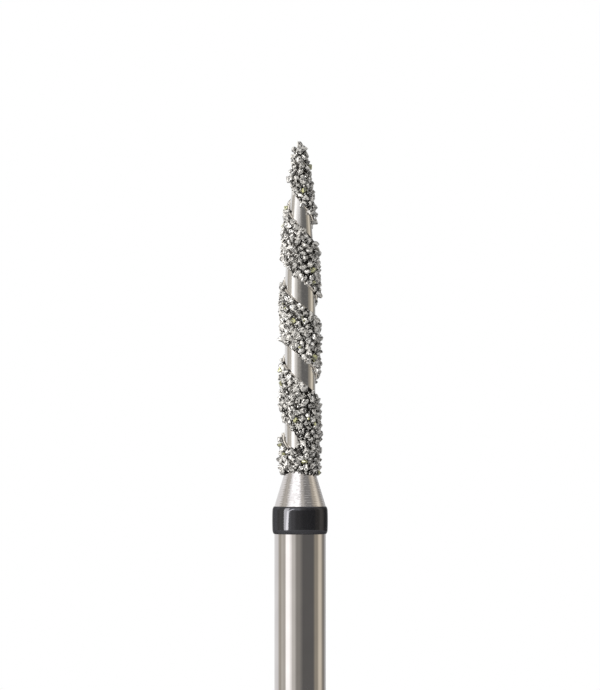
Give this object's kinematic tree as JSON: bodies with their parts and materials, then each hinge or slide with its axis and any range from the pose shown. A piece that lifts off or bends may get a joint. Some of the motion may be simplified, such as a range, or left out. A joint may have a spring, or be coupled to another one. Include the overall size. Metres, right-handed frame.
{
  "type": "dental bur",
  "caption": "Slender rotary cutting bur: plain friction-grip shank, dark ring, short cone and a long pointed head of coarse diamond grit crossed by a bare spiral channel.",
  "frame": {"origin": "middle of the shank's flat tail", "axes": "+Z along the bur's axis, from the tail to the point; the spiral channel's lower end opens towards -Y"},
  "size_m": [0.0018, 0.0018, 0.0212],
  "materials": {
    "ground_steel": "fine ground, bright",
    "ring_lacquer": "glossy lacquer",
    "plated_nickel": "dull, pebbled",
    "clear_diamond": "sharp faceted crystals, grey and part clear",
    "yellow_diamond": "sharp faceted crystals, yellow-green"
  },
  "bodies": {
    "root": {"steel_blank": "ground_steel", "colour_ring": "ring_lacquer", "nickel_plating": "plated_nickel", "clear_grains": "clear_diamond", "yellow_grains": "yellow_diamond"}
  },
  "joints": []
}
